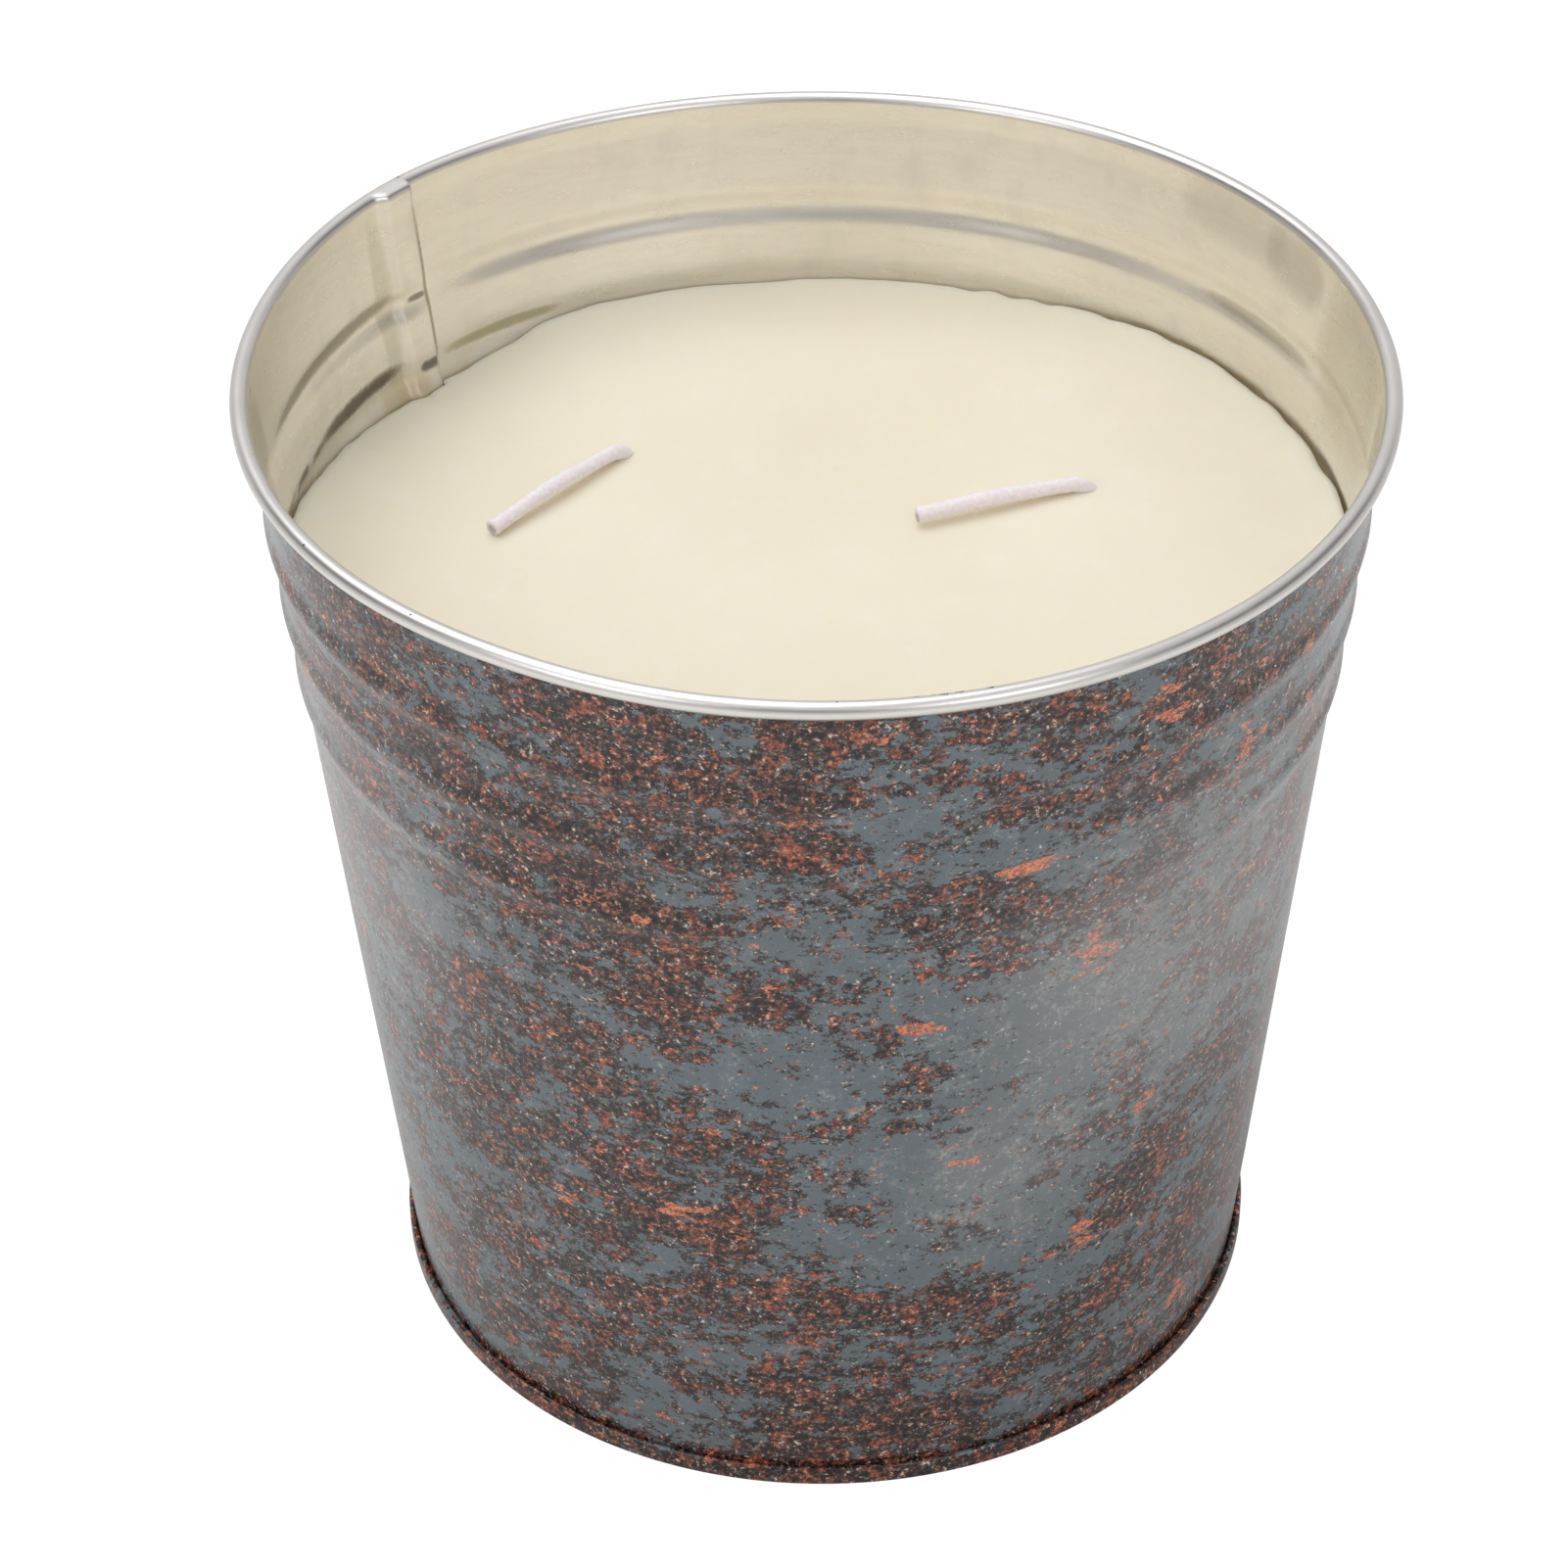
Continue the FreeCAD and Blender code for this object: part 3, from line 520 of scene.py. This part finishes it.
def bottom_outline():
    """Distance out and height of the bottom end's outline, from the crevice beside the wall to the axis."""
    roll = np.radians(np.linspace(180.0, 0.0, 13))
    crown = np.stack([HOOK_MIDDLE + FOLD_RADIUS * np.cos(roll),
                      SEAM_HEIGHT - FOLD_RADIUS + FOLD_RADIUS * np.sin(roll)], axis=1)
    outer = np.radians(np.linspace(0.0, -90.0, 8))
    outer_corner = np.stack([SEAM_OUT - SEAM_CORNER + SEAM_CORNER * np.cos(outer),
                             SEAM_CORNER + SEAM_CORNER * np.sin(outer)], axis=1)
    inner = np.radians(np.linspace(-90.0, -180.0, 8))
    inner_corner = np.stack([SEAM_IN + SEAM_CORNER + SEAM_CORNER * np.cos(inner),
                             SEAM_CORNER + SEAM_CORNER * np.sin(inner)], axis=1)
    rise = np.radians(np.linspace(0.0, 90.0, 7))
    panel_corner = np.stack([SEAM_IN - PANEL_CORNER + PANEL_CORNER * np.cos(rise),
                             PANEL_HEIGHT - PANEL_CORNER + PANEL_CORNER * np.sin(rise)], axis=1)
    out = np.linspace(RING_MIDDLE + RING_WIDTH / 2, RING_MIDDLE - RING_WIDTH / 2, 19)
    drop = RING_DROP * 0.5 * (1.0 + np.cos(2.0 * math.pi * (out - RING_MIDDLE) / RING_WIDTH))
    ring = np.stack([out, PANEL_HEIGHT - drop], axis=1)
    panel = np.array([[out, PANEL_HEIGHT] for out in (50.0, 38.0, 25.0, 12.0, 3.0)])
    return np.concatenate([crown, outer_corner, inner_corner, panel_corner, ring, panel])


def revolve(outline, around):
    """Points of an outline turned round the axis, row by row."""
    azimuth = np.linspace(0.0, 360.0, around, endpoint=False)[None, :]
    out, height = outline[:, 0][:, None], outline[:, 1][:, None]
    return around_axis(out + 0 * azimuth, azimuth + 0 * height, height + 0 * azimuth).reshape(-1, 3)


def make_bottom_end():
    """The bottom end: its outline turned round the axis and closed in the middle, below and above."""
    under = bottom_outline()
    over = under[::-1][:INSIDE_ROWS] + np.array([0.0, SHEET])
    closing = np.array([[64.9, PANEL_HEIGHT + SHEET], [65.7, PANEL_HEIGHT - 0.4], [66.0, 2.0], [66.14, 2.0]])
    outline = np.concatenate([under, over, closing])
    count = len(outline)
    middles = [[0.0, 0.0, PANEL_HEIGHT], [0.0, 0.0, PANEL_HEIGHT + SHEET]]
    points = np.concatenate([revolve(outline, BOTTOM_AROUND), middles])
    faces = [list(face) for face in grid_faces(count, BOTTOM_AROUND, flip=True)]
    edge_row = len(under) - 1
    faces = [face for number, face in enumerate(faces) if number // BOTTOM_AROUND != edge_row]
    under_edge, over_edge, last_row = (row * BOTTOM_AROUND for row in (edge_row, edge_row + 1, count - 1))
    under_middle, over_middle = count * BOTTOM_AROUND, count * BOTTOM_AROUND + 1
    for step in range(BOTTOM_AROUND):
        ahead = (step + 1) % BOTTOM_AROUND
        faces.append([under_edge + ahead, under_edge + step, under_middle])
        faces.append([over_edge + step, over_edge + ahead, over_middle])
        faces.append([last_row + ahead, last_row + step, step, ahead])
    on_panel = [0 if min(face) // BOTTOM_AROUND < PRINTED_ROWS else 1 for face in faces]
    return make_piece("bottom_end", points, faces, [PATINA, TIN], on_panel)


bottom_end = make_bottom_end()
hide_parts("bottom_plate")
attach(bottom_end, "root")

# The wick clips. Stamped from tinplate and crimped round the wicks' feet, they stand on the
# bottom end, where the wax hides them. The solids serve as they are and only get their finish.
for clip_node in ("wick_clip_left", "wick_clip_right"):
    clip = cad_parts[clip_node]
    for material_slot in clip.material_slots:
        material_slot.material = TIN

# The wicks. Braided cotton dipped in wax, standing in the clips and bent over where they
# leave the wax. The left one lies in an arch; the right one's cut end stands a little clear.
WAX_LEVEL = 123.8
WICK_RADIUS = 1.2
WICK_BEND, WICK_ARCH = 4.5, 50.0
WICK_UPRIGHT, WICK_SPANS = 16.0, 8
BRAID_AROUND, BRAID_STRANDS, BRAID_PITCH, BRAID_STEP = 40, 4, 9.0, 0.16
BRAID_RELIEF, BRAID_LOOSENESS = 0.05, 0.05
# Where each wick stands, which way and how far it leans, how it rises and sinks along its
# length, and how far its tip stays off the wax.
WICKS = {
    "left": {"foot": (-27.9, 28.1), "lean": 229.2, "reach": 30.0, "lift": 3.5, "sag": 7.0, "perch": -0.1},
    "right": {"foot": (41.4, 16.0), "lean": 199.5, "reach": 28.4, "lift": 3.0, "sag": 4.0, "perch": 0.2},
}


def waxed_cotton():
    """White cotton braid soaked in wax: slightly lavender, and sooty at the cut tips."""
    finish = Finish("waxed_cotton", Subsurface_Weight=0.4, Subsurface_Scale=0.002, Sheen_Weight=0.15)
    place = finish.place()
    fibres = finish.noise(place, 1.6, 3.0, 0.6)
    colour = finish.blend(fibres.rises(0.35, 0.7), ink(239, 230, 235), ink(247, 242, 245))
    for side, wick in WICKS.items():
        lean = math.radians(wick["lean"])
        tip_x = wick["foot"][0] + wick["reach"] * math.cos(lean)
        tip_y = wick["foot"][1] + wick["reach"] * math.sin(lean)
        tip = (tip_x, tip_y, WAX_LEVEL + 1.0)
        soot = (finish.near(place, tip, 2.1) + (fibres - 0.5) * 1.2).rises(0.55, 0.9)
        colour = finish.blend(soot * 0.55, colour, ink(132, 118, 108))
    finish.feed("Base Color", colour)
    finish.feed("Roughness", 0.55 + fibres * 0.2)
    finish.feed("Normal", finish.bump(fibres, 0.05, 0.4))
    return finish.material


def wick_line(wick):
    """Points along a wick's middle, upright and then bent over, as (along the lean, height)."""
    climb, fall = math.radians(wick["lift"]), math.radians(wick["lift"] - wick["sag"])
    curved = WICK_BEND * (1 - math.sin(climb)) + WICK_ARCH * (math.sin(climb) - math.sin(fall))
    straight = (wick["reach"] - curved) / (math.cos(climb) + math.cos(fall))
    headings = [(WICK_UPRIGHT / WICK_SPANS, math.radians(90))] * WICK_SPANS
    turns = np.linspace(math.radians(90), climb, 13)
    headings += [(WICK_BEND * (turns[0] - turns[-1]) / 12, (a + b) / 2) for a, b in zip(turns, turns[1:])]
    headings += [(straight / WICK_SPANS, climb)] * WICK_SPANS
    turns = np.linspace(climb, fall, 11)
    headings += [(WICK_ARCH * (climb - fall) / 10, (a + b) / 2) for a, b in zip(turns, turns[1:])]
    headings += [(straight / WICK_SPANS, fall)] * WICK_SPANS
    points = [(0.0, 0.0)]
    for length, heading in headings:
        out, height = points[-1]
        points.append((out + length * math.cos(heading), height + length * math.sin(heading)))
    line = np.array(points)
    line[:, 1] += WAX_LEVEL + WICK_RADIUS + wick["perch"] - line[-1, 1]
    return line


def make_wick(side, wick, finish):
    """A braid: a tube whose skin is raised by strands that cross in opposite helices."""
    line = wick_line(wick)
    lengths = np.concatenate([[0.0], np.cumsum(np.hypot(*np.diff(line, axis=0).T))])
    along = np.linspace(0.0, lengths[-1], int(lengths[-1] / BRAID_STEP))
    centre = np.stack([np.interp(along, lengths, line[:, 0]), np.interp(along, lengths, line[:, 1])], axis=1)
    slope = np.gradient(centre, axis=0)
    slope /= np.linalg.norm(slope, axis=1)[:, None]
    ring = np.linspace(0.0, 2.0 * math.pi, BRAID_AROUND, endpoint=False)
    twist = along[:, None] * 2.0 * math.pi / BRAID_PITCH
    right_hand = np.cos(BRAID_STRANDS * (ring[None, :] + twist))
    left_hand = np.cos(BRAID_STRANDS * (ring[None, :] - twist))
    weave = np.maximum(right_hand, left_hand)
    loose = 1.0 + BRAID_LOOSENESS * np.sin(along / 2.7 + 1.3)[:, None]
    radius = (WICK_RADIUS * 0.95 + BRAID_RELIEF * weave) * loose
    lean = math.radians(wick["lean"])
    ahead = np.array([math.cos(lean), math.sin(lean), 0.0])
    aside = np.array([-math.sin(lean), math.cos(lean), 0.0])
    up = np.array([0.0, 0.0, 1.0])
    spine = centre[:, 0][:, None] * ahead + centre[:, 1][:, None] * up + np.array([*wick["foot"], 0.0])
    lift = slope[:, 0][:, None] * up - slope[:, 1][:, None] * ahead
    points = spine[:, None, :] + radius[:, :, None] * (
        np.cos(ring)[None, :, None] * aside + np.sin(ring)[None, :, None] * lift[:, None, :])
    rows = len(along)
    points = np.concatenate([points.reshape(-1, 3), [spine[0], spine[-1]]])
    faces = [list(face) for face in grid_faces(rows, BRAID_AROUND)]
    tip_row, foot_middle = (rows - 1) * BRAID_AROUND, rows * BRAID_AROUND
    for step in range(BRAID_AROUND):
        onward = (step + 1) % BRAID_AROUND
        faces.append([onward, step, foot_middle])
        faces.append([tip_row + step, tip_row + onward, foot_middle + 1])
    piece = make_piece(f"wick_braid_{side}", points, faces, [finish])
    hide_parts(f"wick_{side}")
    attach(piece, "root")


COTTON = waxed_cotton()
for side, wick in WICKS.items():
    make_wick(side, wick, COTTON)

# The wax. Poured warm up to the second bead; on cooling it sank a little in the middle,
# crept up the wall by a hair and drew back from the tin, which leaves a dark line.
WAX_GAP, WAX_TOUCH, GAP_FOOT = 0.35, 0.1, 118.0
WAX_SINK, WAX_RIM, WAX_ROUNDING = 0.5, 0.35, 0.45
WAX_FLOOR, WAX_FLOOR_RADIUS = 4.6, 2.0
WAX_AROUND, WAX_SEED = 720, 11
# Where the wax's edge is torn most, and how fine the tears are.
TORN_AZIMUTH, TORN_WIDTH, TORN_DETAIL = 50.0, 26.0, 90
# How far the wax crept up the wall, or sank beside the seam: azimuth, height of its edge.
WAX_EDGE = (
    (5, 126.2), (12, 125.7), (27, 125.8), (40, 126.3), (48, 126.1), (55, 125.3), (63, 124.7), (80, 124.5),
    (95, 124.3), (107, 124.6), (117, 124.8), (123, 124.2), (128, 123.0), (134, 122.2), (142, 122.0),
    (150, 122.6), (157, 123.5), (163, 124.1), (174, 125.3), (185, 125.0), (200, 124.5), (270, 124.2),
    (340, 125.4),
)


def cream_wax():
    """Cream paraffin with a citrus oil's slight yellow: soft inside, satin on top, a few specks."""
    finish = Finish("cream_wax", Subsurface_Weight=0.5, Subsurface_Scale=0.006, IOR=1.44)
    finish.shader.inputs["Subsurface Radius"].default_value = (1.0, 0.75, 0.45)
    place = finish.place()
    clouds = finish.noise(place, 0.018, 3.0, 0.5)
    mottle = finish.noise(place, 0.16, 4.0, 0.6)
    colour = finish.blend(clouds.rises(0.35, 0.65), ink(237, 228, 206), ink(241, 233, 213))
    colour = finish.blend(mottle.rises(0.5, 0.75) * 0.3, colour, ink(243, 238, 224))
    specks = finish.noise(place, 0.8, 2.0, 0.5).rises(0.775, 0.80)
    colour = finish.blend(specks * 0.35, colour, ink(196, 186, 160))
    finish.feed("Base Color", colour)
    finish.feed("Roughness", 0.42 + mottle * 0.15)
    finish.feed("Normal", finish.bump(mottle, 0.05, 0.5))
    return finish.material


def wax_inner_wall(azimuth, height):
    """Radius of the tin's inner face, lock seam included."""
    seam_places = [LOCK_FOLD - 0.8, LOCK_FOLD - 0.5, JOGGLE_START, JOGGLE_END]
    depth = np.interp(np.mod(azimuth, 360.0), seam_places, [0.0, LOCK_DEPTH, LOCK_DEPTH, 0.0])
    return wall_radius(height) - SHEET - depth + out_of_round(np.mod(azimuth, 360.0), height)


def make_wax():
    """The poured wax: its top in rings from the middle to the torn edge, then down the wall to the floor."""
    azimuth = np.linspace(0.0, 360.0, WAX_AROUND, endpoint=False)
    angle = np.radians(azimuth)
    coarse = 0.25 * np.sin(17 * angle + 0.7) * np.sin(5 * angle)
    fine = 0.18 * np.sin(41 * angle + 2.0) * np.sin(3 * angle + 1)
    ragged = coarse + fine
    rough = np.random.default_rng(WAX_SEED).standard_normal(WAX_AROUND)
    tones = np.fft.rfft(rough) * (np.arange(WAX_AROUND // 2 + 1) < TORN_DETAIL)
    torn = np.fft.irfft(tones, WAX_AROUND)
    torn = torn * (0.25 + np.exp(-(((azimuth - TORN_AZIMUTH) / TORN_WIDTH) ** 2)))
    creep = np.interp(azimuth, *zip(*WAX_EDGE), period=360.0) - WAX_LEVEL + 0.3 * ragged + 0.22 * torn
    reaching = np.minimum(ragged + 0.5 * torn, 0.25) * 0.5
    edge = wax_inner_wall(azimuth, WAX_LEVEL + creep) - WAX_GAP - 0.12 + reaching
    rings = []
    for share in np.concatenate([np.linspace(0.04, 0.9, 20), [0.94, 0.965, 0.98, 0.988, 0.994, 0.998, 1.0]]):
        radius = edge * share
        sink = -WAX_SINK * (1.0 - ease(share, 0.2, 0.95)) + WAX_RIM * ease(share, 0.93, 0.985)
        rounded = -WAX_ROUNDING * ease(share, 0.985, 1.0) ** 2
        swell = 0.12 * np.sin(2 * angle + 0.4) * share + 0.08 * np.sin(3 * angle + 2.2) * share ** 2
        climb = creep * (0.35 * ease(share, 0.55, 0.97) + 0.65 * ease(share, 0.90, 1.0))
        rings.append((radius, WAX_LEVEL + sink + rounded + swell + climb))
    for height in (121.2, 120.6, 119.8, 119.0, 116.0, 113.0, 110.0, 105.0, 80.0, 40.0, 8.0, 4.7):
        level = np.full(WAX_AROUND, height)
        gap = WAX_GAP if height > GAP_FOOT else WAX_TOUCH
        rings.append((wax_inner_wall(azimuth, level) - gap, level))
    rings.append((np.full(WAX_AROUND, WAX_FLOOR_RADIUS), np.full(WAX_AROUND, WAX_FLOOR)))
    points = np.concatenate([around_axis(radius, azimuth, height) for radius, height in rings])
    count = len(rings)
    points = np.concatenate([points, [[0, 0, WAX_LEVEL - WAX_SINK], [0, 0, WAX_FLOOR]]])
    faces = [list(face) for face in grid_faces(count, WAX_AROUND, flip=True)]
    base, middle = (count - 1) * WAX_AROUND, count * WAX_AROUND
    for step in range(WAX_AROUND):
        ahead = (step + 1) % WAX_AROUND
        faces.append([step, ahead, middle])
        faces.append([base + ahead, base + step, middle + 1])
    return make_piece("wax", points, faces, [cream_wax()])


wax = make_wax()
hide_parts("wax_fill")
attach(wax, "root")

# The studio. A pale floor in a pale tent with a dark gap in front, one large soft light
# overhead and two small ones in front, and the camera where the photograph was taken from.
# The camera was solved from the outlines of the rim, the wax and the base. It is in metres.
CAMERA_PLACE = (-0.00551, -0.52539, 0.47526)
CAMERA_RIGHT = (0.99985, -0.01030, -0.01373)
CAMERA_UP = (0.01716, 0.59981, 0.79996)
CAMERA_AHEAD = (0.0, 0.80007, -0.59990)
LENS_MM, SENSOR_MM = 99.73, 36.0
# The tent's gap: where its foot, its top and its side fade, as parts of the way from the middle.
BAND_FOOT, BAND_TOP, BAND_SIDE = (0.10, 0.30), (0.72, 0.60), (0.75, 0.45)
TENT_BRIGHTNESS, GAP_BRIGHTNESS = 0.70, 0.16
FLOOR_HALF, FLOOR_GLOW, FLOOR_SEEN = 1.5, 1.15, 0.85


def make_floor():
    """A pale sheet that is white to the camera and darkens a little in the object's shadow."""
    mesh = bpy.data.meshes.new("floor")
    corners = [(FLOOR_HALF * x, FLOOR_HALF * y, 0) for x, y in ((-1, -1), (1, -1), (1, 1), (-1, 1))]
    mesh.from_pydata(corners, [], [(0, 1, 2, 3)])
    floor = bpy.data.objects.new("floor", mesh)
    bpy.context.scene.collection.objects.link(floor)
    finish = Finish("floor_paper", Roughness=0.9, Specular_IOR_Level=0.0)
    finish.shader.inputs["Base Color"].default_value = ink(240, 240, 240)
    tree = finish.tree
    glow = tree.nodes.new("ShaderNodeEmission")
    glow.inputs["Strength"].default_value = FLOOR_GLOW
    seen = finish.node("ShaderNodeLightPath", {}, {}, "Is Camera Ray") * FLOOR_SEEN
    mix = tree.nodes.new("ShaderNodeMixShader")
    tree.links.new(seen.socket, mix.inputs[0])
    tree.links.new(finish.shader.outputs[0], mix.inputs[1])
    tree.links.new(glow.outputs[0], mix.inputs[2])
    tree.links.new(mix.outputs[0], tree.nodes["Material Output"].inputs["Surface"])
    mesh.materials.append(finish.material)


def make_light(name, place, target, size, power):
    """A round soft light that faces the target, in metres and watts."""
    light = bpy.data.lights.new(name, "AREA")
    light.shape, light.size, light.energy = "DISK", size, power
    lamp = bpy.data.objects.new(name, light)
    lamp.location = place
    lamp.rotation_euler = (Vector(target) - Vector(place)).to_track_quat("-Z", "Y").to_euler()
    bpy.context.scene.collection.objects.link(lamp)


def make_world(brightness, opening):
    """A pale tent with a dark gap above the table in front and at the sides, and a white backdrop."""
    world = bpy.data.worlds.new("studio")
    bpy.context.scene.world = world
    world.use_nodes = True
    tree = world.node_tree
    lit, backdrop = tree.nodes["Background"], tree.nodes.new("ShaderNodeBackground")
    seen, mix = tree.nodes.new("ShaderNodeLightPath"), tree.nodes.new("ShaderNodeMixShader")
    for background, strength in ((lit, brightness), (backdrop, 1.0)):
        background.inputs["Color"].default_value = (1.0, 1.0, 1.0, 1.0)
        background.inputs["Strength"].default_value = strength
    heading = tree.nodes.new("ShaderNodeTexCoord")
    parts = tree.nodes.new("ShaderNodeSeparateXYZ")
    tree.links.new(heading.outputs["Generated"], parts.inputs[0])
    shade = []
    for axis, low, high in (("Z", *BAND_FOOT), ("Z", *BAND_TOP), ("Y", *BAND_SIDE)):
        fade = tree.nodes.new("ShaderNodeMapRange")
        fade.interpolation_type = "SMOOTHSTEP"
        fade.inputs["From Min"].default_value, fade.inputs["From Max"].default_value = low, high
        tree.links.new(parts.outputs[axis], fade.inputs["Value"])
        shade.append(fade)
    band = tree.nodes.new("ShaderNodeMath")
    band.operation = "MULTIPLY"
    tree.links.new(shade[0].outputs[0], band.inputs[0])
    tree.links.new(shade[1].outputs[0], band.inputs[1])
    front = tree.nodes.new("ShaderNodeMath")
    front.operation = "MULTIPLY"
    tree.links.new(band.outputs[0], front.inputs[0])
    tree.links.new(shade[2].outputs[0], front.inputs[1])
    dark = tree.nodes.new("ShaderNodeMapRange")
    dark.inputs["To Min"].default_value, dark.inputs["To Max"].default_value = 1.0, opening
    tree.links.new(front.outputs[0], dark.inputs["Value"])
    tree.links.new(dark.outputs[0], lit.inputs["Color"])
    tree.links.new(seen.outputs["Is Camera Ray"], mix.inputs[0])
    tree.links.new(lit.outputs[0], mix.inputs[1])
    tree.links.new(backdrop.outputs[0], mix.inputs[2])
    tree.links.new(mix.outputs[0], tree.nodes["World Output"].inputs["Surface"])


make_floor()
make_world(TENT_BRIGHTNESS, GAP_BRIGHTNESS)
make_light("overhead", (-0.35, 0.3, 1.35), (0.0, 0.0, 0.12), 1.3, 8.0)
make_light("left_front", (-0.735, -0.735, 0.72), (0.0, 0.0, 0.08), 0.6, 2.2)
make_light("right_front", (0.55, -0.88, 0.72), (0.0, 0.0, 0.08), 0.6, 2.2)

camera_data = bpy.data.cameras.new("camera")
camera_data.lens, camera_data.sensor_width = LENS_MM, SENSOR_MM
camera = bpy.data.objects.new("camera", camera_data)
look = Matrix((CAMERA_RIGHT, CAMERA_UP, [-value for value in CAMERA_AHEAD])).transposed().to_4x4()
camera.matrix_world = Matrix.Translation(CAMERA_PLACE) @ look
bpy.context.scene.collection.objects.link(camera)
bpy.context.scene.camera = camera
bpy.context.scene.view_settings.view_transform = "Standard"
